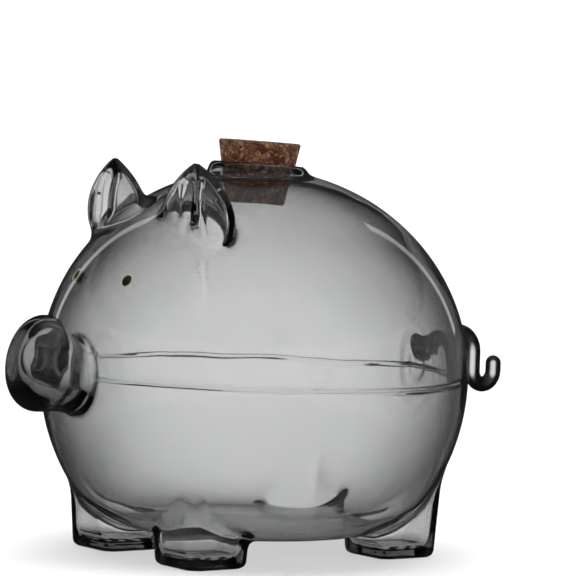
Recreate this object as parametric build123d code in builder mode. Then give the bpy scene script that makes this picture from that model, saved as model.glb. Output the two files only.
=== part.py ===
from build123d import *
import os
from math import cos, radians, sin

# Mould-blown glass piggy bank with a cork in the neck on its back.
# Millimetres. +Z is up, the pig faces -Y and its left side is +X.
# The feet stand on z = 0, and the origin is under the middle of the whole length.

# ---------------------------------------------------------------- driving sizes
# body: two glass regions that meet at the mould seam
body_r = 80.0           # plan radius of the round body
crown_rise = 76.0       # crown above the seam
seam_z = 67.4           # mould seam above the ground
belly_z = 9.5           # flat underside above the ground
side_r = 80.0           # profile radius of the lower side
side_turn = 35.0        # degrees that the lower side turns before it rounds into the belly
wall = 3.0              # blown wall

# feet: square hollow posts with thick bottoms
foot_w = 27.0           # width and length of each foot
foot_corner = 6.0       # plan rounding of its corners
foot_edge = 2.2         # rounding of its bottom edge
foot_floor = 6.0        # thickness of glass that it stands on
foot_wall = 3.0
foot_x = 28.0           # sideways distance of a foot's centre from the body's axis
foot_front_y = 40.5     # distance of the front feet ahead of the axis
foot_rear_y = 45.0      # distance of the rear feet behind the axis

# snout: a blunt hollow drum that tips upwards
snout_r = 17.6
snout_len = 17.3        # front face beyond the body
snout_rise = 2.6        # its root above the seam
snout_tilt = 10.0       # degrees
snout_edge = 5.0        # rounding of the front edge
snout_flare = 6.0       # how far the root spreads
snout_flare_len = 5.0   # where the spread starts, ahead of the body
snout_wall = 4.2
snout_face = 5.0        # thickness of the front face
snout_inner_edge = 6.5  # rounding of the hollow's front edge
snout_inside = 13.0     # how far its tools reach behind the root

# ears: broad hollow leaves that stand up from the skin, set on it by two angles
ear_side_angle = 31.4   # degrees from straight ahead, seen from above
ear_rise_angle = 48.8   # degrees up the body's profile
ear_half_w = 24.0       # half width at the skin
ear_half_t = 9.0        # half thickness at the skin
ear_height = 22.0       # tip above the middle of the root
ear_point = 2.1         # power that draws the leaf in to its tip: 1 is a cone, more is blunter
ear_lean = 5.0          # degrees that it leans ahead
ear_sweep = 4.0         # degrees that the outer edge is swept back
ear_wall = 2.4
ear_hollow_height = 14.0  # top of its hollow above the middle of the root
ear_root_depth = 24.0   # how far its tools reach below the skin
ear_steps = 4           # sections of its loft, less one

# neck ring and cork
neck_ahead = 1.4        # neck centre ahead of the body's axis
neck_drop = 1.4         # ring centre below the crown
neck_tilt = 3.0         # degrees that the neck leans towards the tail
bore_r = 13.7           # narrowest radius of the mouth
bead_w = 4.8            # radial width of the ring's bead
bead_h = 6.6            # height of the bead
cork_gap = 0.4          # cork to mouth, radial, at the narrowest place
cork_taper = 0.18       # radius gained per millimetre of height
cork_above = 11.6       # cork top above the ring's centre
cork_below = 12.5       # cork bottom below it
cork_edge = 0.6         # worn edge of the cork

# tail: one solid rod drawn out, over and up again into a hook
tail_r = 3.0
tail_rise = 8.0         # its root above the seam
tail_climb = 25.0       # degrees that it climbs as it leaves the body
tail_out = 22.5         # middle of the falling leg beyond the body
tail_arch_r = 8.0       # arch at the top
tail_fall = 7.5         # straight part of the falling leg
tail_hook_r = 5.2
tail_tip = 3.5          # straight part of the rising end
tail_root_r = 6.0       # gather of glass where it was stuck on
tail_root_len = 9.0

# eyes: raised drops of black enamel with a thin pale edge
eye_side_angle = 13.8   # degrees from straight ahead, seen from above
eye_rise_angle = 27.9   # degrees up the body's profile
eye_r = 2.0
eye_h = 0.6
eye_edge = 0.3
rim_w = 0.35
rim_h = 0.35

# ---------------------------------------------------------------- derived places
snout_reach = (
    body_r
    + (snout_len - snout_edge) * cos(radians(snout_tilt))
    + (snout_r - snout_edge) * sin(radians(snout_tilt))
    + snout_edge
)
tail_reach = body_r + tail_out + 2 * tail_hook_r + tail_r
body_y = (snout_reach - tail_reach) / 2
body_axis = Axis((0, body_y, 0), (0, 0, 1))
half_plane = Plane(origin=(0, body_y, seam_z), x_dir=(1, 0, 0), z_dir=(0, -1, 0))

neck_lean = (0, sin(radians(neck_tilt)), cos(radians(neck_tilt)))
neck_centre = (0, body_y - neck_ahead, seam_z + crown_rise - neck_drop)
neck_plane = Plane(origin=neck_centre, x_dir=(1, 0, 0), z_dir=neck_lean)
neck_section = Plane(
    origin=neck_centre,
    x_dir=(1, 0, 0),
    z_dir=(0, -neck_lean[2], neck_lean[1]),
)
ring_r = bore_r + bead_w / 2        # circle through the middle of the bead

snout_dir = (0, -cos(radians(snout_tilt)), sin(radians(snout_tilt)))
snout_root = (0, body_y - body_r, seam_z + snout_rise)
snout_section = Plane(origin=snout_root, x_dir=(1, 0, 0), z_dir=(0, -snout_dir[2], snout_dir[1]))


def skin_point(side_angle, rise_angle):
    """Point of the upper body at two angles."""
    side = radians(side_angle)
    rise = radians(rise_angle)
    flat = body_r * cos(rise)
    return Vector(flat * sin(side), body_y - flat * cos(side), seam_z + crown_rise * sin(rise))


def skin_plane(side_angle, rise_angle):
    """Plane that touches the upper body at two angles, with x towards the pig's left."""
    side = radians(side_angle)
    rise = radians(rise_angle)
    normal = Vector(
        cos(rise) * sin(side) / body_r,
        -cos(rise) * cos(side) / body_r,
        sin(rise) / crown_rise,
    ).normalized()
    across = (Vector(1, 0, 0) - normal * normal.X).normalized()
    return Plane(origin=skin_point(side_angle, rise_angle), x_dir=across, z_dir=normal)


# ---------------------------------------------------------------- body volumes
def upper_half(inset):
    """Everything above the seam inside the skin, less an inset."""
    with BuildPart() as half:
        with BuildSketch(half_plane):
            with BuildLine():
                EllipticalCenterArc((0, 0), body_r - inset, crown_rise - inset, start_angle=0, arc_size=90)
                Line((0, crown_rise - inset), (0, 0))
                Line((0, 0), (body_r - inset, 0))
            make_face()
        revolve(axis=body_axis)
    return half.part


def lower_half(inset):
    """Everything below the seam inside the skin, less an inset: side arc, round arc, flat belly."""
    turn = radians(side_turn)
    round_r = (seam_z - belly_z - side_r * sin(turn)) / (1 - sin(turn))
    side_centre = (body_r - side_r, 0)
    round_centre = (
        side_centre[0] + (side_r - round_r) * cos(turn),
        -(side_r - round_r) * sin(turn),
    )
    floor = round_centre[1] - round_r + inset
    with BuildPart() as half:
        with BuildSketch(half_plane):
            with BuildLine():
                CenterArc(side_centre, side_r - inset, 0, -side_turn)
                CenterArc(round_centre, round_r - inset, -side_turn, side_turn - 90)
                Line((round_centre[0], floor), (0, floor))
                Line((0, floor), (0, 0))
                Line((0, 0), (body_r - inset, 0))
            make_face()
        revolve(axis=body_axis)
    return half.part


with BuildPart() as body_volume:
    add(upper_half(0))
    add(lower_half(0))

# ---------------------------------------------------------------- neck ring
with BuildPart() as neck_ring:
    with BuildSketch(neck_section):
        with Locations((ring_r, 0)):
            Ellipse(bead_w / 2, bead_h / 2)
    revolve(axis=Axis(neck_centre, neck_lean))

with BuildPart() as neck_hole:
    with BuildSketch(neck_plane.offset(-bead_h)):
        Circle(ring_r)
    extrude(amount=2 * bead_h)


# ---------------------------------------------------------------- hollows of the limbs
def foot_post(x, y, width, corner, z):
    """Square post with round corners from height z up to the seam."""
    with BuildPart() as post:
        with BuildSketch(Plane.XY.offset(z)):
            with Locations((x, body_y + y)):
                RectangleRounded(width, width, corner)
        extrude(amount=seam_z - z)
    return post.part


def ear_leaf(inset, height):
    """Leaf on the left of the head, less an inset, from inside the body to height above its root."""
    plane = Plane(
        origin=skin_point(ear_side_angle, ear_rise_angle),
        x_dir=(cos(radians(ear_sweep)), sin(radians(ear_sweep)), 0),
        z_dir=(0, -sin(radians(ear_lean)), cos(radians(ear_lean))),
    )
    above = ear_height + ear_wall / 2   # where the outline would close
    with BuildPart() as leaf:
        with BuildSketch(plane.offset(-ear_root_depth)):
            Ellipse(ear_half_w - inset, ear_half_t - inset)
        for step in range(ear_steps + 1):
            level = height * step / ear_steps
            share = 1 - (level / above) ** ear_point
            with BuildSketch(plane.offset(level)):
                Ellipse(ear_half_w * share - inset, (ear_half_t - inset) * share)
        loft()
    return leaf.part


foot_places = {
    "foot_front_left": (foot_x, -foot_front_y),
    "foot_front_right": (-foot_x, -foot_front_y),
    "foot_rear_left": (foot_x, foot_rear_y),
    "foot_rear_right": (-foot_x, foot_rear_y),
}
foot_hollow_w = foot_w - 2 * foot_wall
foot_hollow_corner = foot_corner - foot_wall / 2
foot_hollows = [
    foot_post(x, y, foot_hollow_w, foot_hollow_corner, foot_floor) for x, y in foot_places.values()
]

ear_hollow_left = ear_leaf(ear_wall, ear_hollow_height)
ear_hollow_right = mirror(ear_hollow_left, about=Plane.YZ)

with BuildPart() as snout_hollow:
    with BuildSketch(snout_section):
        hollow_r = snout_r - snout_wall
        hollow_len = snout_len - snout_face
        with BuildLine():
            Polyline(
                (0, -snout_inside),
                (hollow_r, -snout_inside),
                (hollow_r, hollow_len),
                (0, hollow_len),
                close=True,
            )
        make_face()
        fillet(vertices().group_by(Axis.X)[-1].sort_by(Axis.Y)[-1:], radius=snout_inner_edge)
    revolve(axis=Axis(snout_root, snout_dir))

# ---------------------------------------------------------------- shells
with BuildPart() as upper_shell:
    add(upper_half(0))
    add(upper_half(wall), mode=Mode.SUBTRACT)
    add(neck_hole.part, mode=Mode.SUBTRACT)
    add(neck_ring.part, mode=Mode.SUBTRACT)
    add(snout_hollow.part, mode=Mode.SUBTRACT)
    add(ear_hollow_left, mode=Mode.SUBTRACT)
    add(ear_hollow_right, mode=Mode.SUBTRACT)

with BuildPart() as lower_shell:
    add(lower_half(0))
    add(lower_half(wall), mode=Mode.SUBTRACT)
    add(snout_hollow.part, mode=Mode.SUBTRACT)
    for hollow in foot_hollows:
        add(hollow, mode=Mode.SUBTRACT)

# ---------------------------------------------------------------- snout
with BuildPart() as snout:
    with BuildSketch(snout_section):
        with BuildLine():
            Polyline(
                (0, -snout_inside),
                (snout_r + snout_flare, -snout_inside),
                (snout_r, snout_flare_len),
                (snout_r, snout_len),
                (0, snout_len),
                close=True,
            )
        make_face()
        fillet(vertices().group_by(Axis.Y)[-1].sort_by(Axis.X)[-1:], radius=snout_edge)
    revolve(axis=Axis(snout_root, snout_dir))
    add(body_volume.part, mode=Mode.SUBTRACT)
    add(snout_hollow.part, mode=Mode.SUBTRACT)

# ---------------------------------------------------------------- ears
with BuildPart() as ear_left:
    add(ear_leaf(0, ear_height))
    add(body_volume.part, mode=Mode.SUBTRACT)
    add(ear_hollow_left, mode=Mode.SUBTRACT)

with BuildPart() as ear_right:
    mirror(ear_left.part, about=Plane.YZ)

# ---------------------------------------------------------------- feet
feet = {}
for (foot_name, (foot_cx, foot_cy)), foot_hollow in zip(foot_places.items(), foot_hollows):
    with BuildPart() as foot:
        add(foot_post(foot_cx, foot_cy, foot_w, foot_corner, 0))
        fillet(foot.faces().sort_by(Axis.Z)[0].edges(), radius=foot_edge)
        add(body_volume.part, mode=Mode.SUBTRACT)
        add(foot_hollow, mode=Mode.SUBTRACT)
    feet[foot_name] = foot

# ---------------------------------------------------------------- tail
tail_plane = Plane(origin=(0, body_y, seam_z), x_dir=(0, 1, 0), z_dir=(1, 0, 0))
climb = radians(tail_climb)
arch_start = (body_r + tail_out - tail_arch_r * (1 + sin(climb)), 0)
tail_inside = arch_start[0] - body_r + wall
with BuildPart() as tail:
    with BuildLine(tail_plane) as tail_path:
        root_run = Line(
            (arch_start[0] - tail_inside, tail_rise),
            (arch_start[0], tail_rise + tail_inside * sin(climb) / cos(climb)),
        )
        arch = JernArc(root_run @ 1, (cos(climb), sin(climb)), tail_arch_r, -90 - tail_climb)
        fall = Line(arch @ 1, arch @ 1 - (0, tail_fall))
        hook = JernArc(fall @ 1, (0, -1), tail_hook_r, 180)
        tip = Line(hook @ 1, hook @ 1 + (0, tail_tip))
    root_plane = Plane(origin=tail_path.line @ 0, z_dir=tail_path.line % 0)
    with BuildSketch(root_plane):
        Circle(tail_r)
    sweep()
    with Locations(tail_path.line @ 1):
        Sphere(tail_r)
    with BuildSketch(root_plane):
        Circle(tail_root_r)
    with BuildSketch(root_plane.offset(wall + tail_root_len)):
        Circle(tail_r)
    loft()
    add(body_volume.part, mode=Mode.SUBTRACT)

# ---------------------------------------------------------------- eyes
eye_plane = skin_plane(eye_side_angle, eye_rise_angle)
with BuildPart() as eye_left:
    with BuildSketch(eye_plane):
        Circle(eye_r)
    extrude(amount=eye_h)
    eye_edges = eye_left.edges().filter_by(GeomType.CIRCLE)
    fillet(eye_edges.group_by(Axis(eye_plane.origin, eye_plane.z_dir))[-1], radius=eye_edge)

with BuildPart() as eye_rim_left:
    with BuildSketch(eye_plane):
        Circle(eye_r + rim_w)
        Circle(eye_r, mode=Mode.SUBTRACT)
    extrude(amount=rim_h)

with BuildPart() as eye_right:
    mirror(eye_left.part, about=Plane.YZ)

with BuildPart() as eye_rim_right:
    mirror(eye_rim_left.part, about=Plane.YZ)

# ---------------------------------------------------------------- cork
with BuildPart() as cork_stopper:
    with BuildSketch(neck_plane.offset(-cork_below)):
        Circle(bore_r - cork_gap - cork_taper * cork_below)
    with BuildSketch(neck_plane.offset(cork_above)):
        Circle(bore_r - cork_gap + cork_taper * cork_above)
    loft()
    chamfer(cork_stopper.edges().filter_by(GeomType.CIRCLE), length=cork_edge)

# ---------------------------------------------------------------- labels and files
pieces = {
    "upper_shell": upper_shell,
    "lower_shell": lower_shell,
    "snout": snout,
    "ear_left": ear_left,
    "ear_right": ear_right,
    **feet,
    "neck_ring": neck_ring,
    "tail": tail,
    "eye_left": eye_left,
    "eye_right": eye_right,
    "eye_rim_left": eye_rim_left,
    "eye_rim_right": eye_rim_right,
    "cork_stopper": cork_stopper,
}
os.makedirs("parts", exist_ok=True)
for piece_name, piece in pieces.items():
    piece.part.label = piece_name
    export_step(piece.part, f"parts/{piece_name}.step")
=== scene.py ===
from math import cos, pi, radians, sin, tau

import bmesh
import bpy
import numpy as np
from mathutils import Matrix, Vector, noise


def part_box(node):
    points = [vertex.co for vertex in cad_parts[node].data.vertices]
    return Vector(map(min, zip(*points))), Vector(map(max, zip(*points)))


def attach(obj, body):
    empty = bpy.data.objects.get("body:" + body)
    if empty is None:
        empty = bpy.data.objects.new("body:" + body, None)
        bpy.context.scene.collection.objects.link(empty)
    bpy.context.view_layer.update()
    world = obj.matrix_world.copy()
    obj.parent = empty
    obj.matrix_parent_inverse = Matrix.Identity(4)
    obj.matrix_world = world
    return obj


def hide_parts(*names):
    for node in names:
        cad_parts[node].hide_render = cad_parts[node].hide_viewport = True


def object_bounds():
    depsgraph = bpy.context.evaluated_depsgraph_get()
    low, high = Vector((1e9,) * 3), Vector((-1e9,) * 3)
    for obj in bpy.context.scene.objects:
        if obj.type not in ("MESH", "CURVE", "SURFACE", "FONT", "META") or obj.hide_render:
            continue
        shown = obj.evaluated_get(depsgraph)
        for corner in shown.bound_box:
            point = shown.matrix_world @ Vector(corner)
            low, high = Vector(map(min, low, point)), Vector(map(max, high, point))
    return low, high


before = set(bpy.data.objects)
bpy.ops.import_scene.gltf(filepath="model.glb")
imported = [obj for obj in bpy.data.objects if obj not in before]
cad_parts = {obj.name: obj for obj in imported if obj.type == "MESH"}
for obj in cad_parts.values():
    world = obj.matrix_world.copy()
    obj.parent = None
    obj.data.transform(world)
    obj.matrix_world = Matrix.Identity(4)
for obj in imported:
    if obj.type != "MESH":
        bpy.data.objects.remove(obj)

bl_info = {
    "name": "Glass piggy bank",
    "version": (1, 0, 0),
    "blender": (4, 5, 0),
    "location": "3D View > Sidebar > Piggy bank",
    "description": "Mould-blown smoke-glass pig with a cork in its back, enamel eyes and a plain studio",
    "category": "Object",
}

CAD_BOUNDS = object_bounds()
FEET = tuple(f"foot_{end}_{side}" for end in ("front", "rear") for side in ("left", "right"))
GLASS_NODES = ("upper_shell", "lower_shell", "snout", "ear_left", "ear_right", *FEET, "neck_ring", "tail")


def corners(node):
    """Lowest and highest corner of a CAD node."""
    low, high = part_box(node)
    return Vector(low), Vector(high)


# The body is round in plan. The snout's hollow cuts the front of the shell's box, so its rear sets the axis.
SHELL_LOW, SHELL_HIGH = corners("upper_shell")
BODY_R = (SHELL_HIGH.x - SHELL_LOW.x) / 2
BODY_Y = SHELL_HIGH.y - BODY_R
SEAM_Z = SHELL_LOW.z
BELLY_Z = corners("lower_shell")[0].z
FOOT_LOW, FOOT_HIGH = corners("foot_front_left")
REAR_FOOT_LOW, REAR_FOOT_HIGH = corners("foot_rear_left")
FOOT_W = FOOT_HIGH.x - FOOT_LOW.x
FOOT_X = (FOOT_HIGH.x + FOOT_LOW.x) / 2
FRONT_FOOT_Y = (FOOT_HIGH.y + FOOT_LOW.y) / 2 - BODY_Y
REAR_FOOT_Y = (REAR_FOOT_HIGH.y + REAR_FOOT_LOW.y) / 2 - BODY_Y
RING_LOW, RING_HIGH = corners("neck_ring")
RING_CENTRE = (RING_LOW + RING_HIGH) / 2
RING_OUTER_R = (RING_HIGH.x - RING_LOW.x) / 2
TAIL_HIGH = corners("tail")[1]


# ------------------------------------------------------------------ sizes and colours a user would change
def length(name, description, default):
    """A length in metres with a name and a description."""
    return bpy.props.FloatProperty(
        name=name, description=description, default=default, unit="LENGTH", subtype="DISTANCE", precision=5
    )


def angle(name, description, degrees):
    """An angle, given in degrees and kept in radians."""
    return bpy.props.FloatProperty(
        name=name, description=description, default=radians(degrees), unit="ROTATION", subtype="ANGLE"
    )


def colour(name, description, default):
    """A linear colour."""
    return bpy.props.FloatVectorProperty(
        name=name, description=description, default=default, size=3, min=0, max=1, subtype="COLOR"
    )


class GlassSettings(bpy.types.PropertyGroup):
    crown_rise: length("Crown rise", "Crown of the body above the mould seam", 0.076)
    side_turn: angle("Side turn", "Turn of the lower side before it rounds into the belly", 35)
    wall: length("Wall", "Blown wall of the body", 0.003)
    wander: length("Wall wander", "How far the inner skin wanders in and out", 0.00028)
    seam_height: length("Seam height", "Ridge that the mould's joint leaves", 0.00055)
    seam_fold: length("Seam fold", "Extra glass inside the joint", 0.0003)
    seam_width: length("Seam width", "Half width of that ridge", 0.00055)
    seam_reach: length("Seam reach", "How far from the body's skin the ridge dies away", 0.001)
    soft_edge: length("Soft edge", "Rounding that fire leaves on every inner edge", 0.0006)
    cell: length("Cell", "Cell of the grid that the skin is drawn from", 0.00158)
    tint: colour("Smoke tint", "Colour that thick glass goes towards", (0.405, 0.42, 0.407))
    # The rim colour is painted shade: the near-black that the glass is mixed towards where it is seen edge
    # on.
    rim: colour("Rim", "What glass seen edge on goes towards", (0.004, 0.0045, 0.005))
    density: bpy.props.FloatProperty(
        name="Smoke density", description="Absorption per metre of glass", default=160.0, min=0
    )
    film: bpy.props.FloatProperty(name="Film", description="Share of smoke in each skin", default=0.03)
    # How strong the painted shade on glass seen edge on is.
    painted_edge_shade: bpy.props.FloatProperty(
        name="Edge dark", description="How dark the skin goes where it is seen edge on", default=1.25
    )


class SnoutSettings(bpy.types.PropertyGroup):
    radius: length("Radius", "Radius of the drum", 0.0176)
    reach: length("Reach", "Front face beyond the body", 0.0208)
    rise: length("Rise", "Root above the seam", 0.0026)
    tilt: angle("Tilt", "How far the snout tips up", 10)
    edge: length("Edge", "Rounding of the front edge", 0.0072)
    wall: length("Wall", "Side wall of the drum", 0.0052)
    lift: length("Lift", "How far its hollow sits above its middle", 0.0026)
    waist: length("Waist", "How much narrower the drum is where it leaves the body", 0.0036)
    sag: length("Sag", "How far the waist sits below the drum's middle", 0.0022)
    face: length("Face", "Thickness of the front face", 0.0046)
    fillet: length("Fillet", "Spread of the root into the body", 0.0024)


class EarSettings(bpy.types.PropertyGroup):
    side_angle: angle("Side angle", "Place of the ear seen from above, from straight ahead", 30.5)
    rise_angle: angle("Rise angle", "Place of the ear up the body's profile", 48.8)
    lean: angle("Lean", "How far it leans ahead", 5)
    sweep: angle("Sweep", "How far the outer edge is swept back", 4)
    half_width: length("Half width", "Half width at the skin", 0.0198)
    half_thick: length("Half thickness", "Half thickness at the skin", 0.007)
    height: length("Height", "Tip above the middle of the root", 0.0222)
    bluntness: bpy.props.FloatProperty(
        name="Bluntness", description="Power that draws the leaf in to its tip: 1 is a cone", default=2.1
    )
    wall: length("Wall", "Wall of the ear", 0.0025)
    hollow: length("Hollow", "Top of its hollow above the middle of the root", 0.0182)
    root_depth: length("Root depth", "How far it reaches below the skin", 0.0175)
    fold: length("Fold", "Radius of the fold down its front", 0.0026)
    fold_depth: length("Fold depth", "Bottom of the fold behind the front of the leaf", 0.0042)
    fillet: length("Fillet", "Spread of the ear into the body", 0.0045)
    crease: length("Crease", "Depth of the crease that runs down the head from the ear", 0.0016)
    crease_width: length("Crease width", "Half width of that crease at its top", 0.0014)
    blend: length("Blend", "Rounding of the fold's edges and of the hollow's top", 0.003)


class FootSettings(bpy.types.PropertyGroup):
    corner: length("Corner", "Plan rounding of the corners", 0.006)
    edge: length("Edge", "Rounding of the bottom edges", 0.0026)
    draft: angle("Draft", "Slope of its sides, so that it leaves the mould", 3)
    wall: length("Wall", "Side wall of the foot", 0.003)
    floor: length("Floor", "Glass that the foot stands on", 0.003)
    fillet: length("Fillet", "Spread of the foot into the belly", 0.0032)


class NeckSettings(bpy.types.PropertyGroup):
    tilt: angle("Tilt", "How far the neck leans towards the tail", 3)
    bead_width: length("Bead width", "Radial width of the bead round the mouth", 0.0048)
    bead_height: length("Bead height", "Height of the bead", 0.0066)
    lip: length("Lip", "Rounding of the mouth's inner edge", 0.002)
    fillet: length("Fillet", "Spread of the bead into the crown", 0.003)


class TailSettings(bpy.types.PropertyGroup):
    radius: length("Radius", "Radius of the drawn rod", 0.003)
    rise: length("Rise", "Root above the seam", 0.008)
    climb: angle("Climb", "How steeply it leaves the body", 25)
    arch: length("Arch", "Radius of the arch at the top", 0.008)
    fall: length("Fall", "Straight part of the falling leg", 0.0075)
    hook: length("Hook", "Radius of the hook", 0.0052)
    tip: length("Tip", "Straight part of the rising end", 0.003)
    stretch: length("Stretch", "How far the soft rod sagged out as it set", 0.0014)
    root_radius: length("Root radius", "Gather of glass where the rod was stuck on", 0.0048)
    fillet: length("Fillet", "Spread of the root into the body", 0.0025)
    swirl: length("Swirl", "Depth of the ripples that the hot rod left in the wall", 0.001)
    swirl_radius: length("Swirl radius", "How far those ripples spread", 0.0085)
    swirl_pitch: length("Swirl pitch", "Ripple to ripple", 0.0075)


class CorkSettings(bpy.types.PropertyGroup):
    gap: length("Gap", "Cork to mouth at the narrowest place", 0.0004)
    taper: bpy.props.FloatProperty(
        name="Taper", description="Radius gained for each unit of height", default=0.18, min=0
    )
    above: length("Above", "Top of the cork above the middle of the bead", 0.0116)
    below: length("Below", "Bottom of the cork below it", 0.0125)
    edge: length("Edge", "Worn edge", 0.0006)
    chip: length("Chip", "Size of the granules that the cork is pressed from", 0.0021)
    relief: length("Relief", "Depth of the gaps between granules", 0.00022)
    dark: colour("Dark", "Gaps and dark granules", (0.058, 0.021, 0.011))
    mid: colour("Middle", "Most of the granules", (0.20, 0.083, 0.040))
    light: colour("Light", "Pale granules and strands", (0.42, 0.21, 0.11))
    top: colour("Top", "Rubbed and dusty top", (0.115, 0.078, 0.058))


class EyeSettings(bpy.types.PropertyGroup):
    spread: bpy.props.FloatProperty(
        name="Spread", description="Width of the drop against that of its CAD disc", default=1.12
    )
    proud: length("Proud", "How far the drop stands off the glass", 0.00055)
    depth: length("Depth", "How far the enamel's back sits in the glass", 0.0004)
    rim_width: length("Rim width", "Width of the pale edge", 0.00024)
    rim_proud: length("Rim proud", "How far the pale edge stands off the glass", 0.0003)
    enamel: colour("Enamel", "Gloss black of the eye", (0.006, 0.006, 0.007))
    rim: colour("Rim", "Thin pale edge round the eye", (0.50, 0.49, 0.27))


class StageSettings(bpy.types.PropertyGroup):
    azimuth: angle("Azimuth", "Camera's place round the bank, from straight ahead of the snout", 54.97)
    elevation: angle("Elevation", "Camera above the horizon", 4.31)
    roll: angle("Roll", "Lean of the camera", 1.91)
    distance: length("Distance", "Camera to the body's axis", 1.3456)
    lens: bpy.props.FloatProperty(name="Lens", description="Focal length in millimetres", default=225.1)
    across: length("Across", "Middle of the picture to the right of the body's axis", 0.01247)
    up: length("Up", "Middle of the picture above the height that the camera turns about", 0.0238)
    height: length("Height", "Height that the camera turns about", 0.075)
    floor: colour("Floor", "Paper sweep", (0.86, 0.86, 0.865))
    sweep_radius: length("Sweep radius", "Flat part of the paper", 2.6)
    sweep_rise: length("Sweep rise", "Height of the paper's curved edge", 1.5)


# ------------------------------------------------------------------ distances in metres, positive outside
def soft_min(a, b, spread):
    """The smaller of two distances, with a fillet of that spread where they meet."""
    share = np.clip(0.5 + 0.5 * (b - a) / spread, 0, 1)
    return b + (a - b) * share - spread * share * (1 - share)


def soft_max(a, b, spread):
    """The larger of two distances, rounded where they meet."""
    return -soft_min(-a, -b, spread)


def rounded(a, b, radius):
    """The solid inside two distances, with an exact round edge where they meet."""
    a = a + radius
    b = b + radius
    return np.minimum(np.maximum(a, b), 0) + np.hypot(np.maximum(a, 0), np.maximum(b, 0)) - radius


def oval(a, b, half_a, half_b):
    """Distance to an ellipse with those half widths."""
    size = np.sqrt((a / half_a) ** 2 + (b / half_b) ** 2) + 1e-9
    steep = np.sqrt((a / half_a**2) ** 2 + (b / half_b**2) ** 2) + 1e-9
    return size * (size - 1) / steep


def folded(p):
    """Points with those on the right moved over to the left."""
    return np.stack([np.abs(p[..., 0]), p[..., 1], p[..., 2]], -1)


def from_axis(local, axis):
    """Distance of points from an axis through the origin, and how far along it they are."""
    along = local @ axis
    return np.linalg.norm(local - along[..., None] * axis, axis=-1), along


def near_line(point, start, end):
    """Distance from points to a straight run, and the share of the run where each is nearest."""
    run = np.subtract(end, start)
    share = np.clip((point - start) @ run / (run @ run), 0, 1)
    return np.linalg.norm(point - start - share[..., None] * run, axis=-1), share


# The left crease, from the outer half of the ear's front down to the cheek. Its points settle onto the skin.
CREASE_PATH = (
    (0.0355, -0.0510, 0.1310),
    (0.0370, -0.0520, 0.1240),
    (0.0410, -0.0535, 0.1110),
    (0.0470, -0.0555, 0.1010),
    (0.0515, -0.0575, 0.0890),
)
# The share of the ear's height over which its fold is open, and how steeply and far it closes beyond.
FOLD_FROM, FOLD_TO = 0.12, 0.66
FOLD_CLOSES, FOLD_CLOSED = 0.02, 0.01
# What keeps the ear's slope finite along its middle line.
LEAF_CORE, LEAF_SLOPE = 0.004, 1e3
# How much wider a crease is at its end, how fast it fades in there, and how far the inner skin follows it.
CREASE_SPREAD, CREASE_FADE, CREASE_INSIDE = 0.6, 2, 0.75
# Where the snout's waist begins and how long it takes, as shares of its reach.
WAIST_FROM, WAIST_RUN = 0.7, 0.55
# The swirl's middle as a share of the tail's rise, and its breadth against its height.
SWIRL_RISE, SWIRL_SHAPE = 0.3, 0.62
# The joint's waver inside the wall: waves round the body, the phase that each starts at, and its size.
SEAM_WAVES = ((3, 0.5, 0.0006), (7, 2.0, 0.0004))
# How wide the joint's extra glass is against its ridge, and where that ridge begins to fade.
SEAM_INSIDE, RIDGE_FADE = 1.5, 1.6
# Slow waves of the blown wall: radians for each metre along x, y and z, and the phase that each starts at.
WALL_WAVES = (
    ((95, 40, 70), 0.3),
    ((-60, 110, 45), 1.7),
    ((30, -75, 130), 2.9),
    ((150, 90, -60), 4.1),
    ((-120, 60, 160), 5.3),
)


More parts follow.
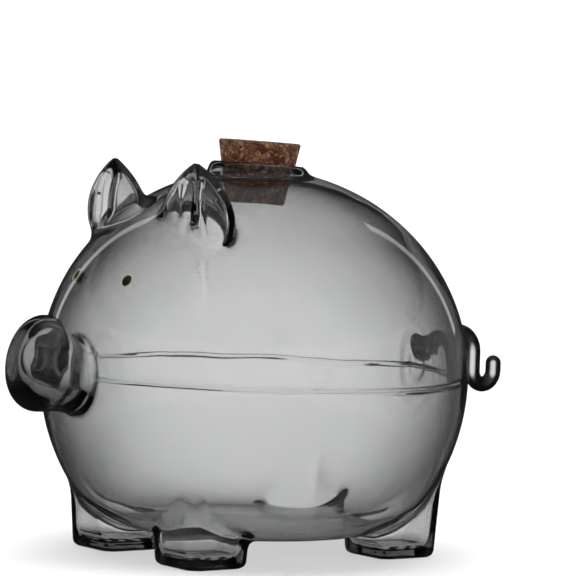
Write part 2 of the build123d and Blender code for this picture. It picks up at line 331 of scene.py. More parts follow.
class PigField:
    """The glass as one signed distance: outer skin less the hollow, with the mouth's bead and the tail."""

    def __init__(self, scene):
        self.glass = scene.bank_glass
        self.snout = scene.bank_snout
        self.ear = scene.bank_ear
        self.foot = scene.bank_foot
        self.neck = scene.bank_neck
        self.tail = scene.bank_tail
        turn = self.glass.side_turn
        self.round_r = (SEAM_Z - BELLY_Z - BODY_R * sin(turn)) / (1 - sin(turn))
        self.round_r_at = (BODY_R - self.round_r) * cos(turn)
        self.round_z_at = -(BODY_R - self.round_r) * sin(turn)
        self.snout_axis = np.array((0, -cos(self.snout.tilt), sin(self.snout.tilt)))
        self.snout_root = np.array((0, -BODY_R, SEAM_Z + self.snout.rise))
        self.neck_axis = np.array((0, sin(self.neck.tilt), cos(self.neck.tilt)))
        self.neck_centre = np.array((0, RING_CENTRE.y - BODY_Y, RING_CENTRE.z))
        self.ring_r = RING_OUTER_R - self.neck.bead_width / 2
        self.set_ear()
        self.set_tail()

    def set_ear(self):
        """The left ear's root on the skin, its three directions, and the crease that runs down from it."""
        ear = self.ear
        flat = BODY_R * cos(ear.rise_angle)
        rise = self.glass.crown_rise * sin(ear.rise_angle)
        self.ear_root = np.array((flat * sin(ear.side_angle), -flat * cos(ear.side_angle), SEAM_Z + rise))
        self.ear_across = np.array((cos(ear.sweep), sin(ear.sweep), 0))
        self.ear_up = np.array((0, -sin(ear.lean), cos(ear.lean)))
        self.ear_ahead = np.cross(self.ear_across, self.ear_up)
        self.ear_ahead *= -np.sign(self.ear_ahead[1])
        self.crease = settle(self.head, np.array(CREASE_PATH), 0.01)[0]

    def set_tail(self):
        """Runs and arcs of the tail's middle line in the plane of symmetry, as (y, z) pairs."""
        tail = self.tail
        fall_y = TAIL_HIGH.y - BODY_Y - tail.radius - 2 * tail.hook + tail.stretch
        arch_y = fall_y - tail.arch
        start_y = arch_y - tail.arch * sin(tail.climb)
        inside = start_y - BODY_R - self.glass.wall / 2
        start_z = SEAM_Z + tail.rise + inside * sin(tail.climb) / cos(tail.climb)
        arch_z = start_z - tail.arch * cos(tail.climb)
        hook_z = arch_z - tail.fall
        self.swirl_at = np.array((0, BODY_R, SEAM_Z + SWIRL_RISE * tail.rise))
        end_y = fall_y + 2 * tail.hook
        self.tail_runs = (
            ((start_y - inside, SEAM_Z + tail.rise), (start_y, start_z)),
            ((fall_y, arch_z), (fall_y, hook_z)),
            ((end_y, hook_z), (end_y, hook_z + tail.tip)),
        )
        self.tail_arcs = (((arch_y, arch_z), tail.arch, 1), ((fall_y + tail.hook, hook_z), tail.hook, -1))

    def body(self, p):
        """Round body: an ellipsoid above the seam, two arcs and a flat belly below it."""
        r = np.hypot(p[..., 0], p[..., 1])
        h = p[..., 2] - SEAM_Z
        upper = oval(r, h, BODY_R, self.glass.crown_rise)
        side = np.hypot(r, h) - BODY_R
        corner = np.hypot(r - self.round_r_at, h - self.round_z_at) - self.round_r
        belly = BELLY_Z - p[..., 2]
        low = np.where(r > self.round_r_at, corner, belly)
        lower = np.where(np.arctan2(-h, r) < self.glass.side_turn, side, low)
        return np.where(h > 0, upper, lower)

    def snout_drum(self, p, inset, face, edge, lift=0.0):
        """The snout's drum, from inside the body to its front, less an inset."""
        local = p - self.snout_root - (0, 0, lift)
        s = local @ self.snout_axis
        waist = np.clip((WAIST_FROM * self.snout.reach - s) / (WAIST_RUN * self.snout.reach), 0, 1)
        waist = waist * waist * (3 - 2 * waist)
        local[..., 2] += self.snout.sag * waist
        q, _ = from_axis(local, self.snout_axis)
        ends = np.maximum(s - (self.snout.reach - face), -BODY_R / 3 - s)
        return rounded(q - (self.snout.radius - inset - self.snout.waist * waist), ends, edge)

    def foot_post(self, p, inset, floor, edge):
        """Four square posts up to the seam, less an inset, with round corners and bottom edges."""
        x = np.abs(p[..., 0]) - FOOT_X
        y = np.where(p[..., 1] < 0, p[..., 1] - FRONT_FOOT_Y, p[..., 1] - REAR_FOOT_Y)
        half = FOOT_W / 2 - inset + p[..., 2] * sin(self.foot.draft)
        plan = rounded(np.abs(x) - half, np.abs(y) - half, self.foot.corner - inset / 2)
        return rounded(plan, np.maximum(floor - p[..., 2], p[..., 2] - SEAM_Z), edge)

    def ear_leaf(self, p, inset):
        """Both ears as broad upright leaves with a fold down the front, less an inset."""
        ear = self.ear
        local = folded(p) - self.ear_root
        u = local @ self.ear_across
        v = local @ self.ear_ahead
        t = local @ self.ear_up
        wide, thick, tall = ear.half_width, ear.half_thick, ear.height
        level = np.clip(np.where(t > 0, t, -t * tall / ear.root_depth) / tall, 0, 1.5)
        share = 1 - level**ear.bluntness
        slope = ear.bluntness * level ** (ear.bluntness - 1) / tall
        across = np.sqrt((u / wide) ** 2 + (v / thick) ** 2 + LEAF_CORE)
        steep = np.sqrt((u / wide**2) ** 2 + (v / thick**2) ** 2) / across
        leaf = np.maximum((across - share) / np.sqrt(steep**2 + slope**2 + LEAF_SLOPE), -t - ear.root_depth)
        outside = np.maximum(t / tall - FOLD_TO, FOLD_FROM - t / tall)
        bottom = (thick - ear.fold_depth) * share + np.clip(outside * FOLD_CLOSES, 0, FOLD_CLOSED)
        fold = np.hypot(u, np.minimum(v - bottom - ear.fold, 0)) - ear.fold - inset
        if inset:
            leaf = soft_max(leaf + inset, t - ear.hollow, ear.blend)
        return soft_max(leaf, -fold, ear.blend)

    def head(self, p):
        """The body with its ears."""
        return soft_min(self.body(p), self.ear_leaf(p, 0), self.ear.fillet)

    def creases(self, p):
        """How near points are to the creases down the head, from 0 to 1."""
        p = folded(p)
        best = np.zeros(p.shape[:-1])
        for i, (start, end) in enumerate(zip(self.crease, self.crease[1:])):
            away, along = near_line(p, start, end)
            fade = 1 - (i + along) / (len(self.crease) - 1)
            width = self.ear.crease_width * (1 + CREASE_SPREAD * (1 - fade))
            best = np.maximum(best, np.exp(-((away / width) ** 2)) * np.clip(CREASE_FADE * fade, 0, 1))
        return best

    def bead(self, p):
        """Rounded bead round the mouth."""
        r, h = from_axis(p - self.neck_centre, self.neck_axis)
        return oval(r - self.ring_r, h, self.neck.bead_width / 2, self.neck.bead_height / 2)

    def mouth(self, p):
        """Round hole through the crown, as wide as the middle of the bead."""
        r, h = from_axis(p - self.neck_centre, self.neck_axis)
        return np.maximum(r - self.ring_r, np.abs(h) - 2 * self.neck.bead_height)

    def tail_rod(self, p):
        """Rod along the tail's runs and arcs, thicker where it was stuck on."""
        flat = p[..., 1:]
        root_line, along = near_line(flat, *self.tail_runs[0])
        swell = (self.tail.root_radius - self.tail.radius) * (1 - along) ** 2
        best = np.hypot(p[..., 0], root_line) - swell
        for start, end in self.tail_runs[1:]:
            best = np.minimum(best, np.hypot(p[..., 0], near_line(flat, start, end)[0]))
        for centre, radius, side in self.tail_arcs:
            out = flat - centre
            ring = np.hypot(np.linalg.norm(out, axis=-1) - radius, p[..., 0])
            best = np.minimum(best, np.where(out[..., 1] * side > 0, ring, 1.0))
        return best - self.tail.radius

    def swirl(self, p):
        """Ripples round the tail's root, from -1 to 1, taller than they are wide."""
        tail = self.tail
        away = np.linalg.norm((p - self.swirl_at) * (1, 1, SWIRL_SHAPE), axis=-1)
        return np.exp(-((away / tail.swirl_radius) ** 2)) * np.cos(tau * away / tail.swirl_pitch)

    def wander(self, p):
        """Slow, even waves from -1 to 1 that keep blown glass from being perfectly even."""
        return sum(np.sin(p @ np.array(wave, float) + phase) for wave, phase in WALL_WAVES) / len(WALL_WAVES)

    def seam_band(self, p, width):
        """How near points are to the mould's joint, from 0 to 1, along a line that wavers a little."""
        turn = np.arctan2(p[..., 0], p[..., 1])
        waver = sum(size * np.sin(count * turn + phase) for count, phase, size in SEAM_WAVES)
        return np.exp(-(((p[..., 2] - SEAM_Z - waver) / width) ** 2))

    def outer(self, p):
        """The outer skin, with the ridge that the mould's joint left and the creases below the ears."""
        skin = soft_min(self.body(p), self.foot_post(p, 0, 0, self.foot.edge), self.foot.fillet)
        skin = soft_min(skin, self.snout_drum(p, 0, 0, self.snout.edge), self.snout.fillet)
        skin = soft_min(skin, self.ear_leaf(p, 0), self.ear.fillet)
        ridge = np.exp(-(((p[..., 2] - SEAM_Z) / self.glass.seam_width) ** 2))
        ridge = ridge * np.clip(RIDGE_FADE - np.abs(self.body(p)) / self.glass.seam_reach, 0, 1)
        return skin - self.glass.seam_height * ridge + self.ear.crease * self.creases(p)

    def inner(self, p):
        """The hollow that the coins lie in, with those of the feet, snout and ears."""
        wall = self.glass.wall + self.glass.wander * self.wander(p)
        wall = wall + self.glass.seam_fold * self.seam_band(p, SEAM_INSIDE * self.glass.seam_width)
        wall = wall + self.tail.swirl * self.swirl(p)
        foot, snout, ear = self.foot, self.snout, self.ear
        hollow = self.body(p) + wall
        hollow = soft_min(hollow, self.foot_post(p, foot.wall, foot.floor, 2 * foot.edge), foot.fillet)
        drum = self.snout_drum(p, snout.wall, snout.face, snout.radius / 2, snout.lift)
        hollow = soft_min(hollow, drum, snout.fillet)
        hollow = soft_min(hollow, self.ear_leaf(p, ear.wall), ear.fillet)
        return hollow + CREASE_INSIDE * ear.crease * self.creases(p)

    def __call__(self, p):
        """The glass itself at points given from the body's axis on the ground."""
        shell = soft_max(self.outer(p), -self.inner(p), self.glass.soft_edge)
        shell = soft_max(shell, -self.mouth(p), self.neck.lip)
        shell = soft_min(shell, self.bead(p), self.neck.fillet)
        return soft_min(shell, self.tail_rod(p), self.tail.fillet)


# ------------------------------------------------------------------ meshes from fields
def draw_skin(field, low, high, cell):
    """Closed mesh of a field's zero level: a point in each cell and a quad for each edge that it crosses."""
    counts = np.ceil((high - low) / cell).astype(int) + 1
    axes = [low[i] + cell * np.arange(counts[i]) for i in range(3)]
    values = np.empty(counts, np.float32)
    for i, x in enumerate(axes[0]):
        y, z = np.meshgrid(axes[1], axes[2], indexing="ij")
        values[i] = field(np.stack([np.full_like(y, x), y, z], -1))
    inside = values < 0
    cells = counts - 1
    total = np.zeros((*cells, 3), np.float32)
    hits = np.zeros(cells, np.int32)
    span = [slice(0, n) for n in cells]
    for axis in range(3):
        others = [i for i in range(3) if i != axis]
        for step in ((0, 0), (0, 1), (1, 0), (1, 1)):
            start = list(span)
            for other, move in zip(others, step):
                start[other] = slice(move, cells[other] + move)
            end = list(start)
            end[axis] = slice(1, cells[axis] + 1)
            a, b = values[tuple(start)], values[tuple(end)]
            crossed = inside[tuple(start)] != inside[tuple(end)]
            share = np.where(crossed, a / np.where(crossed, a - b, 1), 0)
            total[..., axis] += share
            for other, move in zip(others, step):
                total[..., other] += crossed * move
            hits += crossed
    used = hits > 0
    index = np.full(cells, -1, np.int64)
    index[used] = np.arange(used.sum())
    where = np.argwhere(used)
    points = low + cell * (where + total[used] / hits[used][:, None])
    quads = []
    for axis in range(3):
        b, c = (axis + 1) % 3, (axis + 2) % 3
        start = [slice(1, n) for n in cells]
        start[axis] = slice(0, cells[axis])
        end = list(start)
        end[axis] = slice(1, cells[axis] + 1)
        enters = inside[tuple(start)]
        crossed = np.argwhere(enters != inside[tuple(end)])
        flips = enters[tuple(crossed.T)]
        base = crossed.copy()
        base[:, b] += 1
        base[:, c] += 1
        ring = []
        for back_b, back_c in ((1, 1), (0, 1), (0, 0), (1, 0)):
            at = base.copy()
            at[:, b] -= back_b
            at[:, c] -= back_c
            ring.append(index[tuple(at.T)])
        ring = np.stack(ring, -1)
        quads.append(np.where(flips[:, None], ring, ring[:, ::-1]))
    return points, np.concatenate(quads)


def slopes(field, points, step=2e-5):
    """A field's value and unit direction of steepest rise at points, and the rise itself."""
    moves = step * np.eye(3)
    rise = np.stack([field(points + move) - field(points - move) for move in moves], -1) / (2 * step)
    steep = np.maximum(np.linalg.norm(rise, axis=-1, keepdims=True), 1e-6)
    return field(points), rise / steep, steep[:, 0]


def settle(field, points, most, rounds=3):
    """Moves points onto the field's zero level along its slope, no further than most a round."""
    for _ in range(rounds):
        value, normal, steep = slopes(field, points)
        points = points - np.clip(value / steep, -most, most)[:, None] * normal
    return points, slopes(field, points)[1]


# ------------------------------------------------------------------ shader maths
class Sockets:
    """A socket of a material's nodes that Python's operators work on."""

    def __init__(self, tree, socket):
        self.tree = tree
        self.socket = socket

    def maths(self, operation, *values):
        return node(self.tree, "ShaderNodeMath", {"operation": operation}, values)

    def __add__(self, other):
        return self.maths("ADD", self, other)

    __radd__ = __add__

    def __mul__(self, other):
        return self.maths("MULTIPLY", self, other)

    __rmul__ = __mul__

    def __sub__(self, other):
        return self.maths("SUBTRACT", self, other)

    def __rsub__(self, other):
        return self.maths("SUBTRACT", other, self)

    def at_most(self, limit):
        return self.maths("MINIMUM", self, limit)

    def between(self, low, high):
        """0 below low, 1 above high, and smooth in between."""
        settings = {"interpolation_type": "SMOOTHSTEP", "clamp": True}
        inputs = {"Value": self, "From Min": low, "From Max": high}
        return node(self.tree, "ShaderNodeMapRange", settings, inputs)


def node(tree, kind, settings=None, inputs=(), output=0):
    """One node: its settings first, then its sockets' values or links, and one of its outputs."""
    made = tree.nodes.new(kind)
    for name, value in (settings or {}).items():
        if name == "stops":
            ramp = made.color_ramp
            while len(ramp.elements) < len(value):
                ramp.elements.new(1.0)
            for stop, (place, shade) in zip(ramp.elements, value):
                stop.position = place
                stop.color = (*shade, 1)
        else:
            setattr(made, name, value)
    pairs = inputs.items() if isinstance(inputs, dict) else enumerate(inputs)
    for key, value in pairs:
        if isinstance(value, Sockets):
            tree.links.new(value.socket, made.inputs[key])
        elif isinstance(value, bpy.types.NodeSocket):
            tree.links.new(value, made.inputs[key])
        else:
            if made.inputs[key].type == "RGBA" and len(value) == 3:
                value = (*value, 1)
            made.inputs[key].default_value = value
    return Sockets(tree, made.outputs[output])


class Finish:
    """A new material with the few nodes that every finish here starts from."""

    def __init__(self, name):
        self.material = bpy.data.materials.new(name)
        self.material.use_nodes = True
        self.tree = self.material.node_tree
        self.tree.nodes.clear()
        self.out = self.tree.nodes.new("ShaderNodeOutputMaterial")

    def node(self, kind, settings=None, inputs=(), output=0):
        return node(self.tree, kind, settings, inputs, output)

    def place(self):
        """Places on the object, in metres."""
        return self.node("ShaderNodeTexCoord", output="Object")

    def along(self, place, axis):
        """How far places are along x, y or z."""
        return self.node("ShaderNodeSeparateXYZ", {}, [place], axis)

    def noise(self, place, scale, detail=2.0, rough=0.5, output=0):
        inputs = {"Vector": place, "Scale": scale, "Detail": detail, "Roughness": rough}
        return self.node("ShaderNodeTexNoise", {}, inputs, output)

    def cells(self, place, scale, feature="F1", output="Distance"):
        inputs = {"Vector": place, "Scale": scale}
        return self.node("ShaderNodeTexVoronoi", {"feature": feature}, inputs, output)

    def mix(self, share, a, b):
        """A colour between two colours."""
        settings = {"data_type": "RGBA"}
        return self.node("ShaderNodeMix", settings, {"Factor": share, 6: a, 7: b}, 2)

    def ramp(self, value, *stops):
        return self.node("ShaderNodeValToRGB", {"stops": stops}, [value])

    def bump(self, height, distance, strength=1.0):
        inputs = {"Height": height, "Distance": distance, "Strength": strength}
        return self.node("ShaderNodeBump", {}, inputs)

    def shader(self, **inputs):
        """A surface shader, with its sockets named in words joined by underscores."""
        named = {key.replace("_", " "): value for key, value in inputs.items()}
        return self.node("ShaderNodeBsdfPrincipled", {}, named)

    def show(self, shader, output="Surface"):
        """Puts a shader on the material, which is then done."""
        self.tree.links.new(shader.socket, self.out.inputs[output])
        return self.material


GLASS_IOR = 1.47
# Painted edge shade, against that on the body: less at the feet, less by a share at the ears.
FEET_EDGE_SHADE, EARS_LESS = 0.4, 0.4
EARS_FROM, EARS_TO = 0.113, 0.128
# Painted shade on the solid tail, and the darkest that any skin goes with film and painted shade together.
TAIL_PAINTED_SHADE, MOST_FILM_AND_SHADE = 0.9, 0.96


def smoke_glass(glass):
    """Clear grey glass: smoke in its depth, a thin dark film in its skins and painted shade where it is seen
    edge on and on the tail, with smears and slow ripples.
    """
    finish = Finish("smoke_glass")
    place = finish.place()
    smear = finish.noise(place, 38.0, 4.0, 0.6).between(0.56, 0.75)
    ripple = finish.noise(place, 55.0, 1.0, 0.4)
    tint = finish.mix(smear * 0.06, (1.0, 1.0, 1.0), (0.5, 0.5, 0.5))
    clear = finish.shader(
        Base_Color=tint,
        Roughness=smear * 0.012,
        IOR=GLASS_IOR,
        Specular_IOR_Level=0.3,
        Transmission_Weight=1.0,
        Normal=finish.bump(ripple, 0.00012),
    )
    # A near-black shader: a little of it is the skins' dark film, and the rest is painted shade mixed in
    # where the glass is seen edge on and on the tail.
    dark_film_and_painted_shade = finish.shader(Base_Color=glass.rim, Roughness=0.07, IOR=GLASS_IOR, Specular_IOR_Level=0.4)
    facing = finish.node("ShaderNodeLayerWeight", {}, {"Blend": 0.5}, "Facing")
    back = BODY_Y + BODY_R
    tail = finish.along(place, "Y").between(back - 0.001, back + 0.003)
    height = finish.along(place, "Z")
    above_feet = height.between(BELLY_Z - 0.002, BELLY_Z + 0.014)
    at_ears = height.between(EARS_FROM, EARS_TO)
    # Painted shade: the skin goes towards near-black where it is seen edge on, and this is scaled down at
    # the feet and at the ears.
    edge_on = facing * facing * glass.painted_edge_shade
    thin = (FEET_EDGE_SHADE + above_feet * (1 - FEET_EDGE_SHADE)) * (1 - at_ears * EARS_LESS)
    share = glass.film + edge_on * thin
    # More painted shade on the solid tail: all but the middle of the rod goes near-black.
    share = (share + tail * facing.between(0.0, 0.12) * TAIL_PAINTED_SHADE).at_most(MOST_FILM_AND_SHADE)
    depth = finish.node("ShaderNodeVolumeAbsorption", {}, {"Color": glass.tint, "Density": glass.density})
    finish.show(depth, "Volume")
    return finish.show(finish.node("ShaderNodeMixShader", {}, [share, clear, dark_film_and_painted_shade]))


def pressed_cork(cork, along, top_level):
    """Granules of cork in several browns, pale strands, dark gaps and a rubbed top."""
    finish = Finish("pressed_cork")
    place = finish.place()
    bent = finish.noise(place, 260.0, 3.0, 0.6, "Color")
    warped = finish.node("ShaderNodeVectorMath", {"operation": "MULTIPLY_ADD"}, [bent, (0.0016,) * 3, place])
    chip_scale = 1 / cork.chip
    shade = finish.cells(warped, chip_scale, output="Color")
    shade = finish.node("ShaderNodeSeparateColor", {}, [shade])
    edge = finish.cells(warped, chip_scale, "DISTANCE_TO_EDGE").between(0.02, 0.16)
    grain = finish.noise(warped, 1400.0, 4.0, 0.65)
    drawn = finish.node("ShaderNodeVectorMath", {"operation": "MULTIPLY"}, [warped, (1.0, 0.8, 3.2)])
    strand = finish.noise(drawn, 330.0, 3.0, 0.6).between(0.56, 0.66)
    body = finish.ramp(shade * 0.75 + grain * 0.35, (0.15, cork.dark), (0.48, cork.mid), (0.92, cork.light))
    body = finish.mix(strand * 0.55, body, cork.light)
    body = finish.mix((1 - edge) * 0.75, body, cork.dark)
    # Near-black at the middles of the pits: partly dark flecks in the cork, partly painted shade in pits
    # that only the bump sinks.
    pit = finish.cells(place, 240.0).between(0.10, 0.17)
    body = finish.mix((1 - pit) * 0.9, body, (0.012, 0.007, 0.005))
    height = finish.node("ShaderNodeVectorMath", {"operation": "DOT_PRODUCT"}, [place, along], "Value")
    rubbed = height.between(top_level - 0.0011, top_level - 0.0004)
    dust = finish.ramp(grain * 0.7 + shade * 0.3, (0.2, (0.06, 0.038, 0.027)), (0.8, cork.top))
    body = finish.mix(rubbed * 0.8, body, dust)
    rise = edge * 0.6 + grain * 0.4 + pit * 0.5
    shader = finish.shader(
        Base_Color=body,
        Roughness=0.94 - grain * 0.2,
        Specular_IOR_Level=0.25,
        Normal=finish.bump(rise, 0.00035),
    )
    return finish.show(shader)


def enamel(name, paint, dull):
    """Fired enamel: gloss paint with a fine orange peel and a dulled patch or two."""
    finish = Finish(name)
    place = finish.place()
    peel = finish.noise(place, 2600.0, 2.0)
    worn = finish.noise(place, 900.0, 3.0)
    shader = finish.shader(
        Base_Color=finish.mix(worn.between(0.5, 0.8) * 0.3, paint, dull),
        Roughness=0.12 + worn * 0.18,
        Normal=finish.bump(peel, 0.00003),
    )
    return finish.show(shader)


def paper(stage):
    """Seamless studio paper with a faint tooth."""
    finish = Finish("studio_paper")
    place = finish.place()
    tooth = finish.noise(place, 220.0, 3.0)
    shade = finish.mix(finish.noise(place, 1.6, 2.0) * 0.4, stage.floor, [c * 0.985 for c in stage.floor])
    shader = finish.shader(
        Base_Color=shade, Roughness=0.9, Specular_IOR_Level=0.1, Normal=finish.bump(tooth, 0.0002)
    )
    return finish.show(shader)


# ------------------------------------------------------------------ pieces
def new_piece(name, mesh, material):
    """An object at the origin with its place in its mesh."""
    mesh.materials.append(material)
    mesh.shade_smooth()
    piece = bpy.data.objects.new(name, mesh)
    bpy.context.scene.collection.objects.link(piece)
    return piece


def turned(profile, centre, axis, turns, name, push=None):
    """Closed mesh of (radius, height) pairs turned about an axis; push moves its points in or out."""
    up = Vector(axis).normalized()
    frame_of = up.to_track_quat("Z", "Y").to_matrix()
    rows = []
    bm = bmesh.new()
    for radius, height in profile:
        row = []
        spots = 1 if radius < 1e-9 else turns
        for i in range(spots):
            turn = tau * i / turns
            local = Vector((radius * cos(turn), radius * sin(turn), height))
            if push:
                local = push(local, radius, height)
            row.append(bm.verts.new(Vector(centre) + frame_of @ local))
        rows.append(row)
    for low, high in zip(rows, rows[1:]):
        for i in range(turns):
            j = (i + 1) % turns
            ring = [low[i % len(low)], low[j % len(low)], high[j % len(high)], high[i % len(high)]]
            ring = [v for k, v in enumerate(ring) if v not in ring[:k]]
            bm.faces.new(ring)
    bmesh.ops.recalc_face_normals(bm, faces=bm.faces)
    mesh = bpy.data.meshes.new(name)
    bm.to_mesh(mesh)
    bm.free()
    return mesh


def steps(start, end, count):
    """Even steps from start to end, both included."""
    return [start + (end - start) * i / count for i in range(count + 1)]


# Rows of points across the mould's joint, in half widths of its ridge.
SEAM_ROWS = (-3.0, -2.0, -1.2, -0.5, 0.5, 1.2, 2.0, 3.0)
# How many grids are tried for the skin, and how much finer each is than the one before.
GRID_TRIES, GRID_FINER = 3, 0.006
# Where the skin is finely shaped: the ears and their creases, and the tail's root.
EARS_SPAN, EARS_Y, EARS_Z = (0.008, 0.062), -0.022, 0.083
RUMP_HALF, RUMP_TALL = 0.014, 0.02


class BANK_OT_glass(bpy.types.Operator):
    """Blow the pig: body, snout, ears, feet, mouth and tail as one skin of glass"""

    bl_idname = "bank.glass"
    bl_label = "Glass pig"

    def execute(self, context):
        glass = context.scene.bank_glass
        field = PigField(context.scene)
        offset = np.array((0, BODY_Y, 0))
        spare = 3 * glass.cell
        low = np.array(CAD_BOUNDS[0]) - offset - spare
        high = np.array((CAD_BOUNDS[1].x, CAD_BOUNDS[1].y, RING_HIGH.z + 4 * glass.wall)) - offset + spare
        mesh = self.skin(field, low, high, glass.cell)
        self.refine(mesh)
        self.cut_seam(mesh, glass)
        points = np.empty(len(mesh.vertices) * 3)
        mesh.vertices.foreach_get("co", points)
        points, normals = settle(field, points.reshape(-1, 3), glass.cell / 2)
        mesh.vertices.foreach_set("co", (points + offset).ravel())
        mesh.update()
        piece = new_piece("pig_glass", mesh, smoke_glass(glass))
        mesh.normals_split_custom_set_from_vertices(normals.tolist())
        piece.visible_shadow = False
        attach(piece, "bank")
        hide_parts(*GLASS_NODES)
        return {"FINISHED"}

    def skin(self, field, low, high, cell):
        """The skin's mesh, drawn on a slightly finer grid while two sheets of it share a cell."""
        tries = []
        for step in range(GRID_TRIES):
            points, quads = draw_skin(field, low, high, cell * (1 - GRID_FINER * step))
            edges = np.sort(np.concatenate([quads[:, [i, (i + 1) % 4]] for i in range(4)]), axis=1)
            shared = (np.unique(edges, axis=0, return_counts=True)[1] != 2).sum()
            tries.append((shared, step, points, quads))
            if shared == 0:
                break
        points, quads = min(tries)[2:]
        mesh = bpy.data.meshes.new("pig_glass")
        mesh.from_pydata(points.tolist(), [], quads.tolist())
        return mesh

    def refine(self, mesh):
        """Halves the cells at the ears, down their creases and round the tail's root."""
        bm = bmesh.new()
        bm.from_mesh(mesh)

        def busy(face):
            x, y, z = face.calc_center_median()
            head = EARS_SPAN[0] < abs(x) < EARS_SPAN[1] and y < EARS_Y and z > EARS_Z
            rump = abs(x) < RUMP_HALF and y > 0.9 * BODY_R and abs(z - SEAM_Z) < RUMP_TALL
            return head or rump

        edges = [edge for edge in bm.edges if any(busy(face) for face in edge.link_faces)]
        bmesh.ops.subdivide_edges(bm, edges=edges, cuts=1, use_grid_fill=True)
        bm.to_mesh(mesh)
        bm.free()

    def cut_seam(self, mesh, glass):
        """Rows of points along the mould's joint, so that its ridge has a shape."""
        bm = bmesh.new()
        bm.from_mesh(mesh)
        for row in SEAM_ROWS:
            level = SEAM_Z + row * glass.seam_width
            near = [f for f in bm.faces if abs(f.calc_center_median().z - level) < 2 * glass.cell]
            parts = list(dict.fromkeys(part for f in near for part in (*f.verts, *f.edges))) + near
            bmesh.ops.bisect_plane(bm, geom=parts, dist=1e-6, plane_co=(0, 0, level), plane_no=(0, 0, 1))
        bm.to_mesh(mesh)
        bm.free()


# The cork's skin: a gap's width against the granules' spacing, and how fine, rare and deep its tears are.
GAP_WIDTH = 0.22
TEARS_PER_METRE, TEAR_FROM, TEAR_DEPTH = 420, 0.38, 3.0


class BANK_OT_cork(bpy.types.Operator):
    """Turn the tapered cork, with granules standing proud and gaps between them"""

    bl_idname = "bank.cork"
    bl_label = "Cork"

    def execute(self, context):
        cork, neck = context.scene.bank_cork, context.scene.bank_neck
        axis = Vector((0, sin(neck.tilt), cos(neck.tilt)))
        bore = RING_OUTER_R - neck.bead_width

        def radius_at(height):
            return bore - cork.gap + cork.taper * height

        low, high = -cork.below, cork.above
        profile = [(r, low) for r in steps(0, radius_at(low) - cork.edge, 14)]
        profile += [(radius_at(h), h) for h in steps(low + cork.edge, high - cork.edge, 44)]
        profile += [(r, high) for r in steps(radius_at(high) - cork.edge, 0, 22)]
        mesh = turned(profile, RING_CENTRE, axis, 180, "cork", self.roughen)
        top_level = RING_CENTRE.dot(axis) + high
        piece = new_piece("cork_plug", mesh, pressed_cork(cork, axis, top_level))
        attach(piece, "stopper")
        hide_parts("cork_stopper")
        return {"FINISHED"}

    def roughen(self, local, radius, height):
        """Sinks the gaps between granules and a few torn pits."""
        cork = bpy.context.scene.bank_cork
        gaps, _ = noise.voronoi(local / cork.chip)
        gap = max(0.0, 1 - (gaps[1] - gaps[0]) / GAP_WIDTH)
        tear = max(0.0, noise.noise(local * TEARS_PER_METRE) - TEAR_FROM) * TEAR_DEPTH
        sink = cork.relief * (gap + tear)
        inward = Vector((-local.x, -local.y, 0))
        if radius < 1e-6 or abs(height - cork.above) < 1e-6 or abs(height + cork.below) < 1e-6:
            return local + Vector((0, 0, -sink if height > 0 else sink)) * 0.5
        return local + inward.normalized() * sink


# How far a drop's edge runs below the skin.
DROP_SINK = 0.00002


class BANK_OT_eyes(bpy.types.Operator):
    """Drop the enamel eyes and lay their thin pale edges"""

    bl_idname = "bank.eyes"
    bl_label = "Eyes"

    def execute(self, context):
        eye = context.scene.bank_eye
        black = enamel("black_enamel", eye.enamel, (0.03, 0.03, 0.032))
        pale = enamel("pale_enamel", eye.rim, (0.3, 0.3, 0.2))
        field = PigField(context.scene)
        for side in ("left", "right"):
            low, high = corners(f"eye_{side}")
            middle = (low + high) / 2
            at = np.array((middle.x, middle.y - BODY_Y, middle.z))
            at, normal = settle(field, at[None], 0.001)
            spot = Vector(at[0]) + Vector((0, BODY_Y, 0))
            radius = eye.spread * (high.x - low.x) / 2
            drop = [(radius * sin(t), eye.proud * cos(t) - DROP_SINK) for t in steps(0, pi / 2, 14)]
            drop += [(radius, -eye.depth), (0, -eye.depth)]
            piece = new_piece(f"eye_{side}_drop", turned(drop, spot, normal[0], 64, "eye"), black)
            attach(piece, "bank")
            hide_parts(f"eye_{side}")
            half = eye.rim_width / 2
            ring = [(radius + half + half * cos(t), eye.rim_proud * sin(t)) for t in steps(0, pi, 10)]
            ring += [(radius, -eye.depth), (radius + 2 * half, -eye.depth), ring[0]]
            piece = new_piece(f"eye_rim_{side}_line", turned(ring, spot, normal[0], 64, "rim"), pale)
            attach(piece, "bank")
            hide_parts(f"eye_rim_{side}")
        return {"FINISHED"}


# Lamps in a ring that wash the paper: where they hang and where they aim, as (out, up).
WASH_AT, WASH_AIM = (2.2, 2.6), (4.1, 0.6)
# Dim strips behind the bank that its edges mirror: their turns from straight ahead, and (out, up).
STRIP_TURNS, STRIP_AT = (197, 273), (1.7, 0.8)


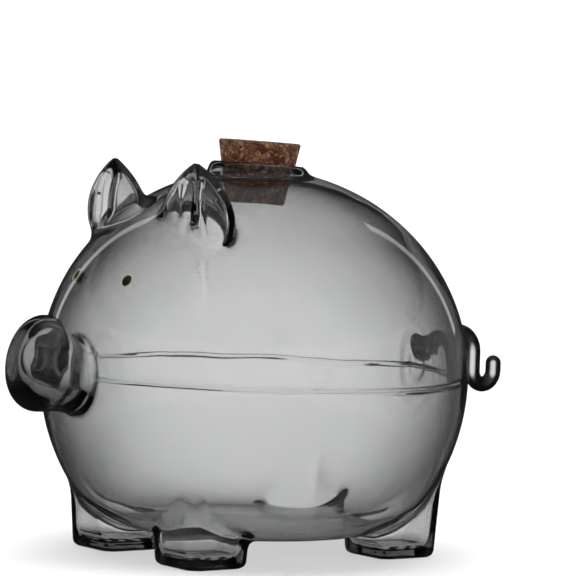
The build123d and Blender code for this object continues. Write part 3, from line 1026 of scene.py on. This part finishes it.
class BANK_OT_stage(bpy.types.Operator):
    """Lay the paper, hang the soft lights and set the camera"""

    bl_idname = "bank.stage"
    bl_label = "Studio"

    def execute(self, context):
        stage = context.scene.bank_stage
        flat, rise = stage.sweep_radius, stage.sweep_rise
        profile = [(r, 0) for r in (0, 0.5, flat)]
        profile += [(flat + rise * sin(t), rise * (1 - cos(t))) for t in steps(0, pi / 2, 16)[1:]]
        sweep = new_piece("paper_sweep", turned(profile, (0, 0, 0), (0, 0, 1), 96, "paper"), paper(stage))
        sweep.visible_glossy = False
        self.lights(context)
        self.camera(context, stage)
        context.scene.view_settings.view_transform = "Standard"
        return {"FINISHED"}

    def lights(self, context):
        """One wide lamp overhead, a ring of lamps that wash the paper, and two strips for the glass."""

        def soft_box(name, place, size, power, aim=(0, 0, 0.07), mirrored=False):
            lamp = bpy.data.lights.new(name, "AREA")
            lamp.shape = "RECTANGLE"
            lamp.size, lamp.size_y = size
            lamp.energy = power
            box = bpy.data.objects.new(name, lamp)
            box.location = place
            box.rotation_euler = (Vector(aim) - Vector(place)).to_track_quat("-Z", "Y").to_euler()
            box.visible_camera = False
            box.visible_glossy = mirrored
            box.visible_transmission = False
            context.scene.collection.objects.link(box)

        soft_box("top_light", (0.0, 0.0, 3.2), (3.0, 3.0), 125, (0, 0, 0))
        for turn in range(0, 360, 45):
            place, aim = (
                (out * sin(radians(turn)), out * cos(radians(turn)), up) for out, up in (WASH_AT, WASH_AIM)
            )
            soft_box(f"wall_light_{turn}", place, (1.2, 0.5), 25, aim)
        for turn in STRIP_TURNS:
            out, up = STRIP_AT
            place = (out * sin(radians(turn)), BODY_Y - out * cos(radians(turn)), up)
            soft_box(f"window_{turn}", place, (0.13, 1.2), 0.8, mirrored=True)
        self.sky(context)

    def sky(self, context):
        """Dim room with a soft glow overhead."""
        world = bpy.data.worlds.new("studio")
        context.scene.world = world
        world.use_nodes = True
        tree = world.node_tree
        tree.nodes.clear()
        way = node(tree, "ShaderNodeTexCoord", output="Generated")
        height = node(tree, "ShaderNodeSeparateXYZ", {}, [way], "Z")
        stops = ((0.0, (0.02,) * 3), (0.55, (0.03,) * 3), (0.8, (0.30,) * 3), (1.0, (0.45,) * 3))
        glow = node(tree, "ShaderNodeValToRGB", {"stops": stops}, [height])
        room = node(tree, "ShaderNodeBackground", {}, {"Color": glow, "Strength": 1.0})
        out = tree.nodes.new("ShaderNodeOutputWorld")
        tree.links.new(room.socket, out.inputs["Surface"])

    def camera(self, context, stage):
        """Camera at the bank's three-quarter front, leaning a little."""
        lens = bpy.data.cameras.new("camera")
        lens.sensor_width = 36
        lens.lens = stage.lens
        lens.clip_end = 20
        camera = bpy.data.objects.new("camera", lens)
        context.scene.collection.objects.link(camera)
        context.scene.camera = camera
        turn, lift = stage.azimuth, stage.elevation
        back = Vector((sin(turn) * cos(lift), -cos(turn) * cos(lift), sin(lift)))
        pivot = Vector((0, BODY_Y, stage.height))
        place = pivot + back * stage.distance
        right = Vector((cos(turn), sin(turn), 0))
        up = back.cross(right)
        lean = Matrix.Rotation(stage.roll, 3, back)
        aim = pivot + lean @ (right * stage.across + up * stage.up)
        view = (place - aim).normalized()
        side = (right - view * right.dot(view)).normalized()
        above = view.cross(side)
        frame_of = Matrix((side, above, view)).transposed()
        frame_of = Matrix.Rotation(stage.roll, 3, view) @ frame_of
        camera.matrix_world = Matrix.Translation(place) @ frame_of.to_4x4()


class BANK_PT_panel(bpy.types.Panel):
    """The bank's pieces in the sidebar"""

    bl_label = "Piggy bank"
    bl_space_type = "VIEW_3D"
    bl_region_type = "UI"
    bl_category = "Piggy bank"

    def draw(self, context):
        for operator in OPERATORS:
            self.layout.operator(operator.bl_idname)
        for name in SETTINGS:
            box = self.layout.box()
            group = getattr(context.scene, name)
            for prop in group.bl_rna.properties:
                if prop.identifier not in ("name", "rna_type"):
                    box.prop(group, prop.identifier)


SETTINGS = {
    "bank_glass": GlassSettings,
    "bank_snout": SnoutSettings,
    "bank_ear": EarSettings,
    "bank_foot": FootSettings,
    "bank_neck": NeckSettings,
    "bank_tail": TailSettings,
    "bank_cork": CorkSettings,
    "bank_eye": EyeSettings,
    "bank_stage": StageSettings,
}
OPERATORS = (BANK_OT_glass, BANK_OT_cork, BANK_OT_eyes, BANK_OT_stage)


def register():
    for name, group in SETTINGS.items():
        bpy.utils.register_class(group)
        setattr(bpy.types.Scene, name, bpy.props.PointerProperty(type=group))
    for operator in OPERATORS:
        bpy.utils.register_class(operator)
    bpy.utils.register_class(BANK_PT_panel)


def unregister():
    bpy.utils.unregister_class(BANK_PT_panel)
    for operator in reversed(OPERATORS):
        bpy.utils.unregister_class(operator)
    for name, group in reversed(SETTINGS.items()):
        delattr(bpy.types.Scene, name)
        bpy.utils.unregister_class(group)


def main():
    register()
    bpy.ops.bank.glass()
    bpy.ops.bank.cork()
    bpy.ops.bank.eyes()
    bpy.ops.bank.stage()


if __name__ == "__main__":
    main()
